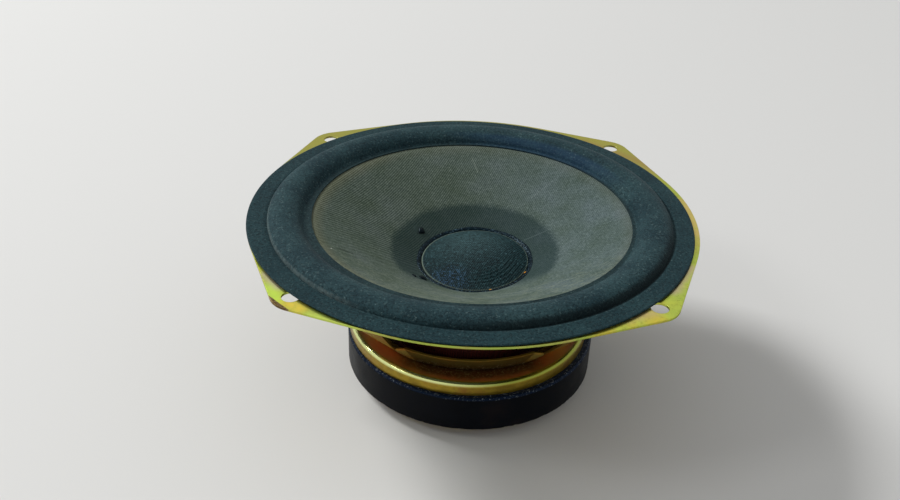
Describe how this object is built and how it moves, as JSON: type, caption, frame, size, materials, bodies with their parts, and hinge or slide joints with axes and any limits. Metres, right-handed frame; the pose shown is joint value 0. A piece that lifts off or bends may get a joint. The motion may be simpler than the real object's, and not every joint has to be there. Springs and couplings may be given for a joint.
{
  "type": "loudspeaker woofer",
  "caption": "Round woofer with a square-cornered screw flange, foam surround, paper cone and ring magnet; the cone slides in and out on its spider.",
  "frame": {"origin": "centre of the back plate's underside, on the axis of the cone", "axes": "+Z out of the cone towards the listener; +X to the right and +Y away from the viewer of the picture; the terminals are at -X and the screw holes lie on the diagonals"},
  "size_m": [0.203, 0.203, 0.0885],
  "materials": {
    "plated_steel": "yellow passivated zinc plate, satin with a green and pink sheen",
    "gasket_foam": "matte grey-black fine foam",
    "ferrite": "satin blue-black ceramic",
    "turned_steel": "bright turned",
    "hard_paper": "matte brown laminate",
    "tinned_brass": "tinned, dull silver",
    "cone_paper": "matte grey-green felted paper",
    "surround_foam": "matte blue-grey fine foam",
    "cap_cloth": "dark blue-grey woven cloth, slightly shiny",
    "black_glue": "gloss black",
    "former_paper": "brown insulating paper",
    "copper_wire": "lacquered copper wire",
    "spider_cloth": "dark red-brown varnished cloth",
    "tinsel_braid": "braided copper tinsel"
  },
  "bodies": {
    "frame": {"basket": "plated_steel", "front_gasket": "gasket_foam", "top_plate": "plated_steel", "ring_magnet": "ferrite", "back_plate": "plated_steel", "pole_piece": "turned_steel", "plate_rivets": "plated_steel", "terminal_board": "hard_paper", "terminal_tag_positive": "tinned_brass", "terminal_tag_negative": "tinned_brass", "tag_eyelets": "tinned_brass", "terminal_rivet": "turned_steel"},
    "moving_cone": {"cone": "cone_paper", "surround": "surround_foam", "dust_cap": "cap_cloth", "cap_glue": "black_glue", "coil_former": "former_paper", "coil_winding": "copper_wire", "neck_glue": "black_glue", "spider": "spider_cloth", "spider_glue": "black_glue", "lead_eyelets": "black_glue", "tinsel_lead_positive": "tinsel_braid", "tinsel_lead_negative": "tinsel_braid"}
  },
  "joints": [
    {"name": "cone_travel", "type": "slide", "parent": "frame", "child": "moving_cone", "axis": [0, 0, 1], "range_m": [-0.004, 0.004], "stiffness_N_per_m": 1200, "deforming": ["surround", "spider", "tinsel_lead_positive", "tinsel_lead_negative"]}
  ]
}
